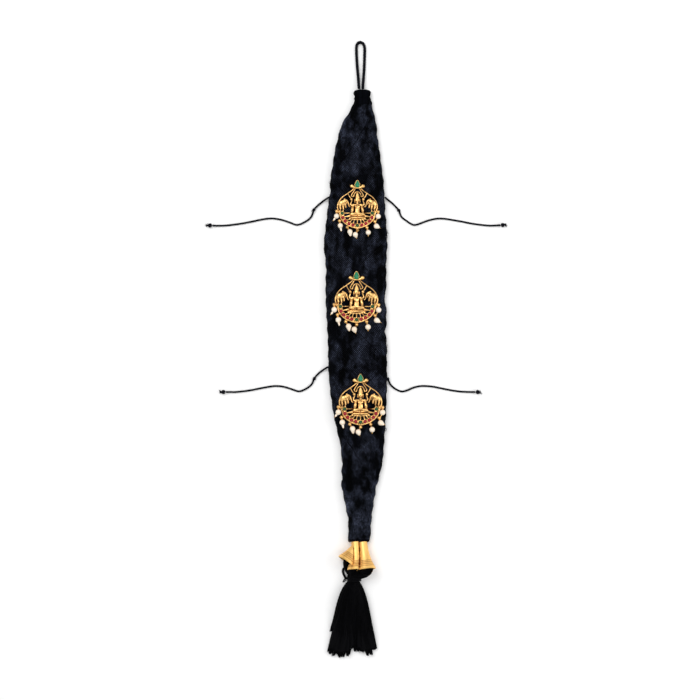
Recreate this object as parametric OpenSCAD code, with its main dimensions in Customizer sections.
// A braid ornament that lies on its flat back: a padded net strip with a hanging loop, three pierced
// gold pendants with pearl drops, four tie cords, three bell caps and a silk tassel.
// The origin is on the flat back, under the middle pendant. Y runs up the ornament to the loop.

/* [Padded body] */
// Length of the padded body, from the neck to the hem
body_len = 355.6; // [330:0.2:380]
// Widest part of the padded body, from edge to edge
body_w = 50.6; // [46:0.2:56]
// Thickness of the padded body at its crest
body_t = 9; // [7:0.5:12]
// Height of the rolled edge's widest line, as a share of the thickness there
edge_rise = 0.42; // [0.3:0.02:0.5]
// How far the neck lies above the middle pendant
neck_rise = 167.6; // [160:0.2:175]
// Depth of the pleats where the cloth is gathered at the neck and the hem
pleat_depth = 0.9; // [0:0.1:1.5]
// Number of pleats across the neck
pleat_n = 5; // [3:1:8]
// Depth of the small puckers along both sides
pucker_depth = 0.3; // [0:0.05:0.6]
// Number of small puckers along each side
pucker_n = 34; // [10:1:60]

/* [Neck binding and hanging loop] */
// Length of the gathered binding over the neck
binding_len = 6.4; // [5:0.2:10]
// Width of the binding
binding_w = 13.2; // [10:0.2:16]
// Height of the binding above the surface that it lies on
binding_t = 7; // [5:0.5:9]
// Diameter of the hanging loop's cord
loop_d = 2.5; // [1.5:0.1:3]

/* [Tie cords] */
// Diameter of the tie cords
tie_d = 1.6; // [1:0.1:2.2]
// Widest diameter of the knots at the ends of the tie cords
knot_d = 3.8; // [3:0.1:5]
// Length of those knots
knot_len = 4.2; // [3:0.1:6]

/* [Pendant castings] */
// Distance from the middle pendant up to the top one
top_rise = 74.6; // [70:0.2:78]
// Distance from the middle pendant down to the low one
low_drop = 81.9; // [78:0.2:86]
// Width of a casting over the middle of its frame wire
cast_w = 33.6; // [30:0.2:36]
// Thickness of a casting's pierced ground
ground_t = 1.4; // [1:0.1:2]
// How far the cast relief stands above the ground
relief_t = 1.7; // [1:0.1:2.4]
// Width of the frame wire
wire_w = 1.2; // [0.9:0.1:1.6]
// Width of the rays, bars and stems
ray_w = 0.85; // [0.6:0.05:1.2]
// Radius of a drop's lug, at the middle of its wire
lug_r = 0.75; // [0.7:0.05:0.9]
// Thickness of a lug's wire
lug_wire = 0.8; // [0.6:0.05:0.9]

/* [Stones] */
// Diameter of the small green and red stones
stone_d = 2.1; // [1.6:0.1:2.4]
// Height of a small stone from its flat base to its table
stone_t = 1.2; // [0.8:0.1:1.6]
// Width of the pointed crest stone
crest_w = 3; // [2.4:0.1:3.4]
// Length of the pointed crest stone
crest_len = 5.2; // [4.4:0.1:6]
// Height of the crest stone
crest_t = 1.8; // [1.2:0.1:2.4]
// Depth to which the stones sit in the ground
seat_depth = 0.9; // [0.5:0.1:0.9]
// Wall of gold round the crest stone
rim_w = 0.7; // [0.5:0.1:1]

/* [Pearl drops] */
// Diameter of the pearls
pearl_d = 4.5; // [3.6:0.1:5]
// Diameter of the bore through a pearl
bore_d = 0.8; // [0.7:0.05:1]
// Diameter of the pin through a pearl
pin_d = 0.5; // [0.4:0.05:0.6]
// Radius of a pin's eye, at the middle of its wire
eye_r = 0.75; // [0.7:0.05:0.9]
// Thickness of the eye's wire
eye_wire = 0.4; // [0.3:0.05:0.5]
// Shortest neck between a pin's eye and its pearl
pin_neck = 0.35; // [0.2:0.05:0.8]

/* [Bells] */
// Length of a bell cap
bell_len = 22; // [18:0.2:25]
// Diameter of a bell's mouth
mouth_d = 15.8; // [13:0.2:17]
// Wall of a bell
bell_wall = 0.6; // [0.4:0.05:0.9]
// Diameter of the thread hole at a bell's narrow end
thread_hole_d = 2.4; // [1.6:0.1:3]
// How far the turned rings near the mouth stand out
ring_rise = 0.15; // [0.05:0.05:0.3]
// Number of turned rings
ring_n = 4; // [2:1:6]

/* [Tassel] */
// How far the tassel's tie lies below the hem
tie_drop = 30; // [29:0.2:32]
// Length of the tassel from its tie to the longest lock's tip
tassel_len = 64; // [55:0.5:70]
// Width of the tassel over its widest locks
tassel_w = 40; // [34:0.5:44]
// Diameter of the bound thread at the tie
bound_d = 8.6; // [7:0.2:9]
// Width of one lock
lock_w = 8.2; // [6:0.2:9]
// Thickness of one lock
lock_t = 5; // [3:0.2:6]
// Diameter of the thread that ties the tassel
wrap_d = 1.4; // [1:0.1:1.6]

/* [Clearances] */
// Gap between a piece and what it rests on or is sewn to
rest_gap = 0.25; // [0.15:0.05:0.35]
// Gap round a stone in its seat
stone_gap = 0.1; // [0.08:0.02:0.16]
// Gap between two bells that meet
bell_gap = 0.2; // [0.1:0.05:0.3]

/* [Hidden] */
$fn = 32;

PLACES = ["top", "middle", "low"];
STONES = ["left", "low", "right"];

function sum(list, i = 0) = i >= len(list) ? 0 : list[i] + sum(list, i + 1);
function unit(v) = v / norm(v);
function column(table, k) = [for (row = table) [row[0], row[k]]];

// Joins rings of points, each with as many points, into one closed skin.
module skin(rings) {
    n = len(rings[0]);
    last = len(rings) - 1;
    sides = [for (i = [0 : last - 1], j = [0 : n - 1])
        let (a = i * n + j, b = i * n + (j + 1) % n)
        each [[a, b, b + n], [a, b + n, a + n]]];
    start = [for (j = [n - 1 : -1 : 0]) j];
    end = [for (j = [0 : n - 1]) last * n + j];
    polyhedron(points = [for (ring = rings) each ring], faces = concat([start, end], sides), convexity = 6);
}

// Sections of the padded body, from the neck to the hem.
// Columns: place along the length, middle line and half width as shares of the width, share of thickness
body_rows = [
    [0.000, 0.092, 0.121, 0.66], [0.011, 0.100, 0.134, 0.70], [0.032, 0.078, 0.183, 0.80],
    [0.047, 0.058, 0.232, 0.86], [0.063, 0.038, 0.275, 0.90], [0.086, 0.021, 0.302, 0.94],
    [0.119, 0.011, 0.348, 0.97], [0.153, 0.009, 0.381, 0.99], [0.187, 0.005, 0.417, 1.00],
    [0.232, 0.003, 0.438, 1.00], [0.277, -0.003, 0.468, 1.00], [0.333, -0.016, 0.499, 0.98],
    [0.371, -0.009, 0.474, 0.98], [0.457, -0.008, 0.474, 1.00], [0.547, 0.013, 0.459, 1.00],
    [0.637, 0.021, 0.457, 0.98], [0.713, 0.051, 0.411, 1.00], [0.772, 0.084, 0.351, 0.98],
    [0.821, 0.092, 0.318, 0.94], [0.873, 0.044, 0.280, 0.90], [0.909, 0.043, 0.227, 0.86],
    [0.952, 0.053, 0.176, 0.82], [1.000, 0.043, 0.167, 0.78]
];
// Main gathers along the sides.
// Columns: place along the length, side, depth as a share of the width, length as a share of the length
gathers = [
    [0.211, -1, 0.016, 0.012], [0.262, 1, 0.010, 0.010], [0.392, -1, 0.010, 0.010],
    [0.453, 1, 0.032, 0.012], [0.529, 1, 0.026, 0.010], [0.640, -1, 0.012, 0.010],
    [0.787, -1, 0.022, 0.007], [0.821, -1, 0.018, 0.008], [0.856, -1, 0.016, 0.007],
    [0.880, 1, 0.012, 0.010]
];
// Main folds in the face of the pad.
// Columns: place along, place across from -1 to 1, length, width, depth as a share of thickness, slant
folds = [
    [0.10, -0.35, 0.060, 0.22, 0.10, 2.0], [0.14, 0.45, 0.070, 0.20, 0.09, -1.5],
    [0.31, -0.55, 0.045, 0.16, 0.07, 0.0], [0.33, 0.50, 0.050, 0.18, 0.08, 1.0],
    [0.53, 0.62, 0.045, 0.16, 0.08, 0.0], [0.64, 0.90, 0.012, 0.16, 0.16, -9.0],
    [0.80, -0.45, 0.060, 0.20, 0.10, 0.5], [0.82, 0.40, 0.070, 0.18, 0.09, -0.5],
    [0.91, 0.00, 0.040, 0.22, 0.09, 0.0]
];

top_n = 16; // steps across the face of the pad
ring_step = 6.6; // distance between two rings of the pad
edge_power = 6; // how square the pad's section is
sink = 1; // how far the pad's section is drawn below its flat back
end_round = 1.6; // rounding of the pad's two ends
// Places across the pad's back
back_across = [0.97, 0.87, 0, -0.87, -0.97];

function gather_at(a, side) =
    sum([for (g = gathers) g[1] == side ? g[2] * exp(-pow((a - g[0]) / g[3], 2)) : 0]);
function pucker_at(a) = pucker_depth * sin(360 * pucker_n * a);
function left_at(a) = body_w * (lookup(a, column(body_rows, 1)) - lookup(a, column(body_rows, 2))
    + gather_at(a, -1)) + pucker_at(a);
function right_at(a) = body_w * (lookup(a, column(body_rows, 1)) + lookup(a, column(body_rows, 2))
    - gather_at(a, 1)) - pucker_at(a + 0.4 / pucker_n);
function thick_at(a) = body_t * lookup(a, column(body_rows, 3));
function bulge(u) = sqrt(max(0, 1 - pow(abs(u), edge_power)));
function gathered(a) = exp(-a / 0.05) + 0.8 * exp(-(1 - a) / 0.03);
function pleat_at(a, u) = pleat_depth * gathered(a) * (0.5 - 0.5 * cos(2 * pleat_n * acos(u)));
function fold_at(a, u) = body_t * sum([for (f = folds)
    f[4] * exp(-pow((a - f[0]) / f[2], 2) - pow((u - f[1] - f[5] * (a - f[0])) / f[3], 2))]);
function face_z(a, u) = let (t = thick_at(a))
    t * edge_rise + (t * (1 - edge_rise) - fold_at(a, u) - pleat_at(a, u)) * bulge(u);
function back_z(a, u) = let (z = thick_at(a) * edge_rise) z - (z + sink) * bulge(u);
// Height of the pad's face over a point
function pad_z(x, y) = let (a = (neck_rise - y) / body_len, l = left_at(a), r = right_at(a))
    face_z(a, min(1, max(-1, (2 * x - l - r) / (r - l))));

// One ring of the pad at share a of its length, drawn in by inset at a rounded end
function pad_ring(a, y, inset) = let (l = left_at(a) + inset, r = right_at(a) - inset)
    concat(
        [for (j = [0 : top_n]) let (u = -cos(180 * j / top_n))
            [(l + r) / 2 + u * (r - l) / 2, y, face_z(a, u) - inset * bulge(u)]],
        [for (u = back_across) [(l + r) / 2 + u * (r - l) / 2, y, back_z(a, u)]]);

module body() {
    ring_count = ceil(body_len / ring_step);
    inner = [for (i = [1 : ring_count - 1]) let (a = i / ring_count)
        pad_ring(a, neck_rise - a * body_len, 0)];
    color("#15161c")
    intersection() {
        skin(concat(
            [pad_ring(0, neck_rise, end_round), pad_ring(0, neck_rise - end_round * 0.4, end_round * 0.35),
                pad_ring(0.004, neck_rise - end_round, 0)],
            inner,
            [pad_ring(0.996, neck_rise - body_len + end_round, 0),
                pad_ring(1, neck_rise - body_len + end_round * 0.4, end_round * 0.35),
                pad_ring(1, neck_rise - body_len, end_round)]));
        translate([-body_w, neck_rise - body_len - 1, 0])
            cube([2 * body_w, body_len + 2, 2 * body_t]);
    }
}

// Neck binding

neck_x = body_w * body_rows[0][1]; // middle of the neck
// Columns: place along the binding, share of its width
binding_rows = [[0, 0.84], [0.12, 0.95], [0.35, 1], [0.65, 1], [0.88, 0.95], [1, 0.80]];
binding_lobes = 9; // gathers round the binding
lobe_depth = 0.05; // depth of those gathers, as a share

module neck_binding() {
    rise = binding_t / 2;
    n = 3 * binding_lobes;
    color("#101116")
    intersection() {
        skin([for (row = binding_rows) [for (j = [0 : n - 1])
            let (f = -360 * j / n, s = row[1] * (1 - lobe_depth + lobe_depth * cos(binding_lobes * f)))
            [neck_x + s * binding_w / 2 * cos(f), neck_rise + rest_gap + row[0] * binding_len,
                rise + s * (rise + 0.4) * sin(f)]]]);
        translate([neck_x - binding_w, neck_rise, 0]) cube([2 * binding_w, 2 * binding_len, 2 * binding_t]);
    }
}

// Cords. Each route is chosen by hand, in millimetres, and lies on the surface.

loop_route = [
    [2.1, 174.8, 3.6], [1.8, 178, 3.2], [1.4, 184, 2.4], [0.8, 191, 1.6], [0.3, 198, 1.3], [0, 205, 1.3],
    [0, 209, 1.3], [0.9, 211.7, 1.3], [3, 212.8, 1.3], [5.3, 211.7, 1.3], [6.4, 209, 1.3], [6.6, 205, 1.3],
    [6.4, 198, 1.3], [6.1, 191, 1.6], [5.6, 184, 2.4], [5.2, 178, 3.2], [5.1, 174.8, 3.6]
];
tie_route_left_top = [
    [-22, 88, 3.4], [-24.6, 86.4, 2.6], [-28.1, 84, 1.2],
    [-31.6, 81, 0.9], [-34.3, 77.9, 0.9], [-36.4, 72.4, 0.9],
    [-40.9, 68.6, 0.9], [-47.6, 65.9, 0.9], [-53.8, 67.9, 0.9], [-60.9, 70.1, 0.9], [-68.1, 71.1, 0.9],
    [-75.2, 70.4, 0.9], [-83.8, 68.6, 0.9], [-93, 66.9, 0.9], [-103.8, 65.5, 0.9], [-111, 65.2, 1.2],
    [-116, 65.3, 1.9]
];
tie_route_right_top = [
    [22.9, 88, 3.4], [24.6, 86.4, 2.6], [27.9, 84, 1.2],
    [31.2, 80.9, 0.9], [34, 77.6, 0.9], [36.1, 72.6, 0.9],
    [40.2, 69.2, 0.9], [46, 65.9, 0.9], [51.8, 67.2, 0.9], [57.4, 69.3, 0.9], [64, 70.8, 0.9],
    [70, 70.9, 0.9], [77, 69.9, 0.9], [86, 68.3, 0.9], [95, 66.6, 0.9], [105, 65.4, 1],
    [110.5, 65.3, 1.4], [115.9, 65.6, 1.9]
];
tie_route_left_low = [
    [-22.9, -48.3, 3.3], [-24.9, -49.6, 2.5], [-27.8, -51.5, 1.2], [-31.2, -54.4, 0.9], [-33.9, -57.8, 0.9],
    [-36, -62.3, 0.9], [-40.4, -65.9, 0.9], [-46, -68.1, 0.9], [-51.3, -66.6, 0.9], [-57.7, -64.6, 0.9],
    [-63.8, -63.8, 0.9], [-69.8, -64.3, 0.9], [-78.1, -65.8, 0.9], [-86.4, -67.4, 0.9], [-96.6, -68.6, 1],
    [-101, -68.6, 1.4], [-105.3, -68.6, 1.9]
];
tie_route_right_low = [
    [25, -57.9, 2.4], [26.3, -60.6, 1.6], [28, -63.4, 0.9], [31.8, -66.4, 0.9], [36.4, -68.2, 0.9],
    [41, -67.2, 0.9], [46.2, -65, 0.9], [52.5, -63.8, 0.9], [60.6, -64.2, 0.9], [67, -65.4, 0.9],
    [75, -67, 0.9], [83, -68.2, 0.9], [88.5, -68.5, 1], [92, -68.6, 1.4], [95.7, -68.6, 1.9]
];
cord_sides = 8; // sides of a cord's tube

function heading(route, i) = unit(route[min(i + 1, len(route) - 1)] - route[max(i - 1, 0)]);
function cord_ring(route, i, d) = let (t = heading(route, i), s = unit(cross(t, [0, 0, 1])), w = cross(s, t))
    [for (j = [0 : cord_sides - 1]) let (f = 360 * (j + 0.5) / cord_sides)
        route[i] + d / 2 * (cos(f) * s + sin(f) * w)];
module cord(route, d) {
    color("#0d0e12") skin([for (i = [0 : len(route) - 1]) cord_ring(route, i, d)]);
}

// Turns a piece drawn along +Z so that it starts at a and points to b.
module aim(a, b) {
    v = b - a;
    translate(a) rotate([0, acos(v[2] / norm(v)), atan2(v[1], v[0])]) children();
}

// Columns: place along the knot, share of its diameter
knot_rows = [[0, 0.52], [0.1, 0.85], [0.32, 0.98], [0.5, 0.7], [0.62, 0.6], [0.85, 0.92], [1, 1]];
module knot(route) {
    end = route[len(route) - 1];
    dir = unit([end[0] - route[len(route) - 2][0], end[1] - route[len(route) - 2][1], 0]);
    start = [end[0], end[1], knot_d / 2 + rest_gap / 5] + rest_gap * dir;
    color("#0b0b0e") aim(start, start + dir)
        rotate_extrude() polygon(concat([[0, 0]],
            [for (row = knot_rows) [row[1] * knot_d / 2, row[0] * knot_len]], [[0, knot_len]]));
}

// Pendants. Columns: place across, place along, size against the middle pendant
pendants = [[0.7, top_rise, 0.94], [0, 0, 1], [3.2, -low_drop, 1]];
drawn_w = 33.6; // width at which the tables of the casting are drawn
k = cast_w / drawn_w;
back_of_castings = body_t + rest_gap;

// Half of the frame's outline, from the crown joint down to the foot
frame_half = [
    [0, 20.9], [3.2, 20.1], [5.3, 18.4], [8.8, 16.3], [12, 14.4], [14.9, 11.6], [16.3, 9], [16.8, 5.8],
    [16.1, 2.4], [14.8, -1.2], [14, -4.8], [12.4, -7.7], [9.8, -10.2], [5.8, -12.1], [0, -13]
];
// Half of the boat-shaped seat under the figure
seat_half = [[0, -6.1], [4.5, -5.8], [7.9, -4.2], [8.2, -3.3], [5, -2.8], [0, -2.8]];
// The curl of wire inside the crown
curl_half = [[2.6, 19.6], [4.8, 16.4], [5.1, 14.7], [4.2, 13.6], [3.1, 14.1], [2.9, 15]];
arc_w = 12.9; // half width of the arc of stones
arc_h = 9.6; // its depth
arc_y = -0.9; // its middle
// Angles of the stones round the arc, from its foot, on one side
stone_turns = [17, 33.5, 53, 73, 95.5];
band_start = -6; // angle at which the band under the stones starts, past the middle
// Angles of the rays between them
ray_turns = [0, 13, 26, 43, 63];
seat_y = -4.3; // height of the lotus seat
crest_y = 24.3; // height of the crest stone's widest line
collar_w = 1.1; // gold on both sides of a small stone
crest_rise = 0.6; // height of the crest stone's collar above the ground
weld = 0.05; // overlap that closes hairline slits between wires
// Raised parts of the figure and the elephants, mirrored to the other side.
// Columns: x, y and radius of one end, x, y and radius of the other, height as a share of the relief
limbs = [
    [0, 14.4, 1.75, 0, 17.7, 0.6, 0.7], [0, 11.2, 1.8, 0, 8, 1.3, 0.4], [0, 7.6, 1.6, 3.2, 7.2, 1.3, 0.7],
    [0, 6.4, 2.6, 0, 4.6, 2.4, 0.7], [0, 5, 2.2, 0, 1.6, 1.4, 0.7], [3.4, 7.4, 1, 5.6, 6.4, 0.8, 0.4],
    [5.6, 6.4, 0.8, 4.7, 10.4, 0.65, 0.7], [4.9, 11, 1.1, 5, 12.4, 0.6, 1], [3.7, 6.6, 0.9, 4.3, 3.6, 1.1, 1],
    [4.3, 3.6, 1.1, 4.9, 0.6, 0.9, 1], [0, 0.2, 1.3, 4.8, -1, 1.1, 0.7], [2.2, -1.4, 0.9, 5.6, -1.5, 1, 1],
    [0, seat_y + 0.5, 0.9, 3.2, seat_y + 0.5, 0.8, 1], [0, seat_y, 1.6, 7.2, seat_y + 0.9, 0.8, 0.4],
    [11.6, 9, 1.9, 14.2, 8.3, 2.1, 0.7], [11.2, 12.1, 0.8, 10.1, 9.9, 1.5, 1], [9, 10.7, 0.9, 7.9, 8, 0.7, 1],
    [7.9, 8, 0.7, 6.8, 5.4, 0.55, 0.4], [14.1, 7.2, 1.2, 14.6, 3.2, 0.75, 0.4],
    [12.9, 7.2, 1, 11.9, 3.2, 0.75, 0.4], [10.4, 8.4, 0.8, 9.5, 4.6, 0.65, 0.7],
    [1, 21.2, 0.8, 4.7, 22.8, 0.8, 0.4]
];
relief_levels = [0.4, 0.7, 1]; // heights in the table above
bevel = 0.3; // step along the upper edge of the relief
// Domes of the relief, mirrored too. Columns: x, y, radius, height of its top as a share of the relief
domes = [[0, 11.7, 2.2, 1.15], [4.7, 22.8, 1.35, 0.5], [12.9, 9.2, 1.8, 1], [1.6, 4.9, 1.1, 0.95]];
// Lugs for the seven drops. Columns: x, y, turn of the drop from straight down, turn of its tip, tip length
drops = [
    [-17.3, 1.7, -5, -36, 2.6], [-14.5, -6.4, 0, 10, 2.4], [-8.6, -12.2, 32, 8, 1.6], [0, -14.4, -24, 20, 1],
    [8.2, -12.3, 14, 0, 0.9], [14.2, -7.2, 26, 62, 1.6], [17.4, 1.5, 3, -24, 1.6]
];

cap_gap = 0.45; // from a pearl to the gold on either side of it
cap_h = 0.2; // height of the small cap over a pearl

function arc_point(turn) = k * [arc_w * sin(turn), arc_y - arc_h * cos(turn)];
// Outline of a wire of width w that follows the points
function wire(points, w) = let (n = len(points) - 1,
    side = [for (i = [0 : n]) let (t = unit(points[min(i + 1, n)] - points[max(i - 1, 0)]))
        [-t[1], t[0]] * w / 2])
    concat([for (i = [0 : n]) points[i] + side[i]], [for (i = [n : -1 : 0]) points[i] - side[i]]);
function crest_outline() = [for (f = [0 : 36 : 324])
    let (x = crest_w / 2 * cos(f - 18), y = sin(f - 18))
    [x * (y > 0 ? 1 - 0.45 * y : 1), y > 0.9 ? crest_len * 0.58 : y * crest_len * 0.42]];

module both() {
    children();
    mirror([1, 0, 0]) children();
}
module crest_place() {
    translate(k * [0, crest_y]) children();
}

// The pierced ground of a casting, seen from the front
module ground() {
    both() {
        polygon(wire(k * frame_half, wire_w));
        polygon(wire(k * curl_half, ray_w));
        polygon(wire(k * [[7.9, 16.6], [4.9, 11.4]], ray_w));
        polygon(wire(k * [[4.4, 0], [11.8, 0]], ray_w));
        polygon(wire(k * [[5.6, -1.4], [11, -2.8]], ray_w));
        polygon(wire([for (i = [0 : 10]) arc_point(band_start + 11.4 * i)], stone_d + collar_w));
        for (t = ray_turns) polygon(wire([arc_point(t), k * [5 * sin(t), seat_y + 1]], ray_w));
        polygon(k * seat_half);
    }
}
module lug(x, y) {
    translate([k * x, k * y, ground_t / 2]) rotate_extrude() translate([lug_r, 0]) circle(d = lug_wire);
}
// Outline of a limb between two round ends
function limb(a, ra, b, rb) = let (turn = atan2(b[1] - a[1], b[0] - a[0])) concat(
    [for (f = [90 : 36 : 270]) a + ra * [cos(turn + f), sin(turn + f)]],
    [for (f = [-90 : 36 : 90]) b + rb * [cos(turn + f), sin(turn + f)]]);
module limbs_at(level) {
    both() for (m = limbs) if (m[6] == level) polygon(k * limb([m[0], m[1]], m[2], [m[3], m[4]], m[5]));
}
module seat_hole() {
    cylinder(d = stone_d + 2 * stone_gap, h = seat_depth + relief_t);
}
module dome(x, y, r, share) {
    translate([k * x, k * y, 0]) intersection() {
        translate([0, 0, ground_t + share * relief_t - k * r]) sphere(r = k * r);
        translate([-2 * r, -2 * r, ground_t / 2]) cube(4 * r);
    }
}
module relief() {
    for (level = relief_levels) {
        top = ground_t + level * relief_t;
        linear_extrude(top - bevel) offset(delta = weld) limbs_at(level);
        linear_extrude(top) offset(delta = -bevel) limbs_at(level);
    }
    both() for (d = domes) dome(d[0], d[1], d[2], d[3]);
}
module casting(i) {
    p = pendants[i];
    color("#e6a93c") translate([p[0], p[1], back_of_castings]) scale(p[2])
    difference() {
        union() {
            linear_extrude(ground_t) offset(delta = weld) offset(delta = -weld) ground();
            relief();
            crest_place() linear_extrude(ground_t + crest_rise)
                offset(delta = rim_w + stone_gap) polygon(crest_outline());
            for (d = drops) lug(d[0], d[1]);
        }
        translate([0, 0, ground_t - seat_depth]) {
            both() for (t = stone_turns) translate(arc_point(t)) seat_hole();
            translate(arc_point(0)) seat_hole();
            crest_place() linear_extrude(crest_t + relief_t)
                offset(delta = stone_gap) polygon(crest_outline());
        }
    }
}

// Stones

module at_pendant(i) {
    p = pendants[i];
    translate([p[0], p[1], back_of_castings]) scale(p[2]) children();
}
module small_stone(turn) {
    base = 0.45; // share of the height below the crown
    translate(concat(arc_point(turn), ground_t - seat_depth + stone_gap)) {
        cylinder(d = stone_d, h = stone_t * base + 0.01, $fn = 8);
        translate([0, 0, stone_t * base])
            cylinder(d1 = stone_d, d2 = stone_d * 0.6, h = stone_t * (1 - base), $fn = 8);
    }
}
module crest(i) {
    color("#1f9e78") at_pendant(i) crest_place() translate([0, 0, ground_t - seat_depth + stone_gap]) hull() {
        linear_extrude(crest_t * 0.6) polygon(crest_outline());
        linear_extrude(crest_t) scale(0.6) polygon(crest_outline());
    }
}
module green(i, j) {
    color("#1e5a2c") at_pendant(i) small_stone([-stone_turns[4], 0, stone_turns[4]][j]);
}
module rubies(i) {
    color("#8e1230") at_pendant(i) for (t = [0 : 3], s = [-1, 1]) small_stone(s * stone_turns[t]);
}

// Drops. A drop hangs from its lug by an eye, and its pearl rests on the pad.

function turned(angle) = [sin(angle), -cos(angle), 0];
function lug_point(i, j) = let (p = pendants[i], d = drops[j])
    [p[0] + p[2] * k * d[0], p[1] + p[2] * k * d[1], back_of_castings + p[2] * ground_t / 2];
function eye_point(i, j) = lug_point(i, j) + pendants[i][2] * lug_r * turned(drops[j][2]);
function drop_reach() = eye_r + eye_wire / 2 + pin_neck + pearl_d / 2;
function pearl_point(i, j) = let (s = pendants[i][2], e = eye_point(i, j),
    f = e + s * drop_reach() * turned(drops[j][2]))
    [f[0], f[1], max(e[2], pad_z(f[0], f[1]) + s * pearl_d / 2 + rest_gap)];

module pearl(i, j) {
    eye = eye_point(i, j);
    p = pearl_point(i, j);
    s = pendants[i][2];
    color("#fff5ee") difference() {
        translate(p) sphere(d = s * pearl_d);
        aim(eye, p) cylinder(d = s * bore_d, h = s * 3 * drop_reach());
    }
}
module pin(i, j) {
    eye = eye_point(i, j);
    p = pearl_point(i, j);
    s = pendants[i][2];
    way = norm(p - eye) / s;
    past = pearl_d / 2 + cap_gap; // from a pearl's middle to the gold on either side of it
    foot = p + s * past * unit(p - eye);
    tip = foot + s * drops[j][4] * turned(drops[j][3]);
    aim(eye, p) scale(s) {
        rotate([90, 0, 0]) rotate_extrude() translate([eye_r, 0]) circle(d = eye_wire);
        translate([0, 0, eye_r]) cylinder(d = pin_d, h = way - eye_r + past);
        translate([0, 0, way - past - cap_h]) cylinder(r1 = pin_d * 0.7, r2 = pin_d * 1.5, h = cap_h);
    }
    translate(foot) sphere(r = s * pin_d * 1.1);
    aim(foot, tip) cylinder(r1 = s * pin_d, r2 = s * pin_d * 0.32, h = norm(tip - foot));
}
module pins(i) {
    color("#e0a436") for (j = [0 : len(drops) - 1]) pin(i, j);
}

// Bells. Columns: place along the bell, share of the mouth's radius
bell_rows = [
    [0, 0.43], [0.12, 0.44], [0.3, 0.47], [0.45, 0.52], [0.6, 0.6], [0.72, 0.69], [0.94, 0.93], [1, 1]
];
ring_span = [0.72, 0.94]; // where the turned rings lie
hem_y = neck_rise - body_len;
// Narrow end and mouth of each bell
top_y = hem_y - rest_gap - 0.6; // height of the bells' narrow ends
bell_middle_top = [-0.7, top_y, 4];
bell_middle_mouth = [0.3, top_y - 0.96 * bell_len, mouth_d / 2 + 0.1];
bell_right_top = [5.1, top_y - 0.2, 4.8];
bell_right_mouth = bell_right_top + bell_len * unit([2.8, -22.2, 5.6]);
bell_left_mouth = [-8.2, hem_y - 0.74 * bell_len, mouth_d / 2 + 0.1];
bell_left_top = bell_left_mouth + bell_len * unit([10, 14, -3.6]);
// Narrow end and mouth of the left, middle and right bell
bells = [[bell_left_top, bell_left_mouth], [bell_middle_top, bell_middle_mouth],
    [bell_right_top, bell_right_mouth]];

// Outline of a bell's side, grown outwards by grow
function bell_side(grow) = concat(
    [for (row = bell_rows) if (row[0] <= ring_span[0]) [row[1] * mouth_d / 2 + grow, row[0] * bell_len]],
    [for (i = [0 : ring_n - 1], part = [0.25, 0.5, 0.75]) let (a = ring_span[0]
        + (i + part) / ring_n * (ring_span[1] - ring_span[0]))
        [lookup(a, bell_rows) * mouth_d / 2 + grow + (part == 0.5 && grow >= 0 ? ring_rise : 0),
            a * bell_len]],
    [for (row = bell_rows) if (row[0] >= ring_span[1]) [row[1] * mouth_d / 2 + grow, row[0] * bell_len]]);
module bell_solid(grow, more) {
    side = bell_side(grow);
    rotate_extrude() polygon(concat([[0, -more], [side[0][0], -more]], side,
        [[side[len(side) - 1][0], bell_len + more], [0, bell_len + more]]));
}
module bell_shell(i) {
    aim(bells[i][0], bells[i][1]) difference() {
        bell_solid(0, 0);
        translate([0, 0, bell_wall]) difference() {
            bell_solid(-bell_wall, bell_wall);
            translate([0, 0, -3 * bell_wall]) cylinder(d = mouth_d, h = 3 * bell_wall);
        }
        translate([0, 0, -1]) cylinder(d = thread_hole_d, h = 3);
    }
}
// Room that a bell takes with its clearance, as a plain flare round it
module bell_room(i) {
    grow = ring_rise + bell_gap;
    aim(bells[i][0], bells[i][1]) rotate_extrude() polygon(concat(
        [[0, -1], [bell_rows[0][1] * mouth_d / 2 + grow, -1]],
        [for (j = [4, 7]) [bell_rows[j][1] * mouth_d / 2 + grow, bell_rows[j][0] * bell_len]],
        [[mouth_d / 2 + grow, bell_len + 1], [0, bell_len + 1]]));
}
// Everything to the right of x, where a bell lies behind its neighbour
module hidden_side(x) {
    translate([x, hem_y - 2 * bell_len, -1]) cube([3 * mouth_d, 3 * bell_len, 2 * mouth_d]);
}
module bell_right() {
    color("#e5a83e") bell_shell(2);
}
module bell_middle() {
    color("#e5a83e") difference() {
        bell_shell(1);
        union() {
            bell_room(2);
            hidden_side(bell_right_mouth[0] - 2);
        }
    }
}
module bell_left() {
    color("#e5a83e") difference() {
        bell_shell(0);
        union() {
            bell_room(1);
            hidden_side(bell_middle_top[0] - 2);
        }
        translate([-mouth_d, hem_y - rest_gap, -1]) cube(2 * mouth_d);
    }
}

// Tassel. Columns: tip across and down as shares of the tassel's width and length, bend, width, height
locks = [
    [-0.46, 0.68, -0.13, 0.80, 0.34], [-0.49, 0.95, -0.05, 1.00, 0.36], [-0.39, 0.99, -0.07, 1.00, 0.44],
    [-0.26, 1.00, -0.05, 1.05, 0.50], [-0.165, 0.985, -0.03, 0.95, 0.54], [-0.095, 0.93, 0.00, 0.75, 0.50],
    [-0.035, 0.91, 0.02, 0.65, 0.44], [0.12, 0.935, 0.04, 0.90, 0.50], [0.205, 0.97, 0.05, 1.00, 0.54],
    [0.28, 0.965, 0.06, 1.00, 0.48], [0.345, 0.95, 0.07, 0.95, 0.42], [0.40, 0.92, 0.10, 0.80, 0.34]
];
tie_at = [-1.8, hem_y - tie_drop, bound_d / 2 + 0.3]; // middle of the tie
lock_steps = 4; // stretches of a lock

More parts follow.
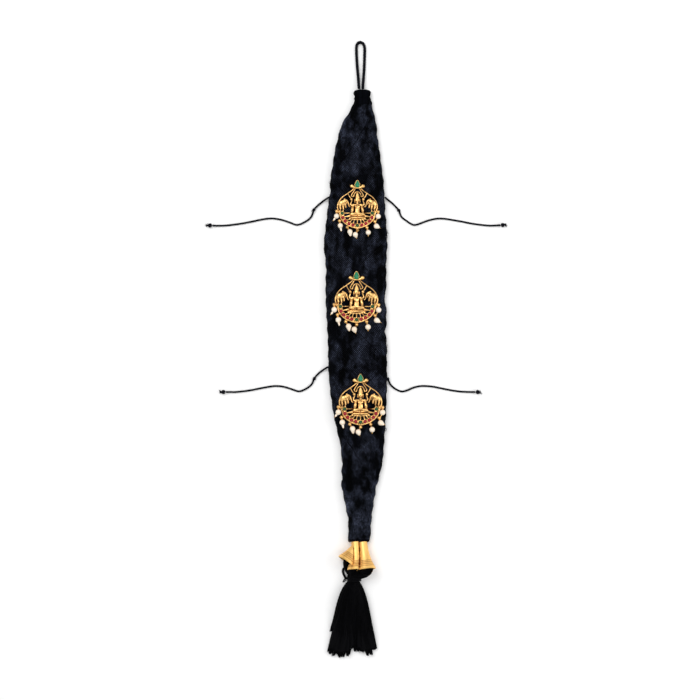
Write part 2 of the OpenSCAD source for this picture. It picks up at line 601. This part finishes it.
function lock_point(m, t) = [
    tie_at[0] + t * (m[0] * tassel_w + 0.4) + m[2] * tassel_w * sin(180 * t) * (1 - t),
    tie_at[1] - t * m[1] * tassel_len,
    (1 - t) * tie_at[2] + t * (m[4] * lock_t * 0.8 + 0.4) + 0.9 * sin(180 * t)];
module lock_slice(m, t) {
    w = lock_w / 2 * m[3] * (0.55 + 0.45 * sin(140 * t)) * (t == 1 ? 0.6 : 1);
    h = lock_t * (0.5 + 0.2 * sin(180 * t)) * (t == 1 ? 0.55 : 1);
    translate(lock_point(m, t)) scale([w, 1.2, min(h, lock_point(m, t)[2] - 0.1)]) sphere(r = 1, $fn = 7);
}
// Silk that comes out of a bell's mouth, bends at its knees and runs to the tie.
// Columns: shift of the silk in the mouth, its radius there, and the knees: across, down from the hem,
// height and radius. All are shares of the mouth's diameter, only the way down is a share of the tie's
stems = [
    [[-0.006, -0.02, -0.165], 0.158, [[-0.557, 0.74, 0.209, 0.085], [-0.449, 0.84, 0.241, 0.095]]],
    [[-0.234, 0, 0], 0.177, [[-0.19, 0.833, 0.354, 0.19]]],
    [[0, 0, 0], 0.38, [[0.519, 0.86, 0.468, 0.177]]]
];
module silk_disc(i, along, r) {
    translate(stems[i][0] * mouth_d) aim(bells[i][0], bells[i][1])
        translate([0, 0, along]) cylinder(r = r, h = 0.5, $fn = 9);
}
module knee(k) {
    translate([k[0] * mouth_d, hem_y - k[1] * tie_drop, k[2] * mouth_d]) sphere(r = k[3] * mouth_d, $fn = 9);
}
module stem(i) {
    r = stems[i][1] * mouth_d;
    knees = stems[i][2];
    hull() {
        silk_disc(i, 0.8 * bell_len, r * 0.5);
        silk_disc(i, bell_len + 0.3, r);
    }
    hull() {
        silk_disc(i, bell_len + 0.5, r);
        knee(knees[0]);
    }
    for (j = [1 : 1 : len(knees) - 1]) hull() {
        knee(knees[j - 1]);
        knee(knees[j]);
    }
    hull() {
        knee(knees[len(knees) - 1]);
        neck_slice(2.7);
    }
}
module neck_slice(along) {
    translate(tie_at + [0, along, 0]) rotate([90, 0, 0]) cylinder(d = bound_d, h = 1, $fn = 12);
}
module tassel() {
    color("#08080a") union() {
        for (m = locks, i = [0 : lock_steps - 1]) hull() {
            lock_slice(m, i / lock_steps);
            lock_slice(m, (i + 1) / lock_steps);
        }
        hull() {
            neck_slice(2.8);
            neck_slice(-2.6);
        }
        for (i = [0 : 2]) stem(i);
    }
}
module tie_wrap() {
    color("#050506") translate(tie_at + [0, -0.5, 0]) rotate([90, 0, 0])
        for (z = [-1, 0, 1]) translate([0, 0, z * (wrap_d * 0.9)]) rotate_extrude()
            translate([bound_d / 2 + wrap_d / 2 + rest_gap * 0.6, 0]) circle(d = wrap_d);
}
bow_route = [
    [-8.7, -217.8, 4], [-9.4, -216.9, 2.6], [-10.3, -215.2, 1.2], [-10.9, -213.2, 0.8], [-10.6, -211.3, 0.8],
    [-9.4, -210.1, 0.8], [-8.1, -210.6, 0.8], [-7.4, -212.2, 0.8]
];

// Every node by its name

body();
neck_binding();
cord(loop_route, loop_d);  // hanging_loop
cord(tie_route_left_top, tie_d);  // tie_left_top
cord(tie_route_right_top, tie_d);  // tie_right_top
cord(tie_route_left_low, tie_d);  // tie_left_low
cord(tie_route_right_low, tie_d);  // tie_right_low
knot(tie_route_left_top);  // knot_left_top
knot(tie_route_right_top);  // knot_right_top
knot(tie_route_left_low);  // knot_left_low
knot(tie_route_right_low);  // knot_right_low
for (i = [0 : 2]) {
    casting(i);
    crest(i);
    for (j = [0 : 2]) green(i, j);
    rubies(i);
    pins(i);
    for (j = [0 : 6]) pearl(i, j);
}
bell_left();
bell_middle();
bell_right();
tassel();
tie_wrap();
cord(bow_route, wrap_d);  // bow_loop
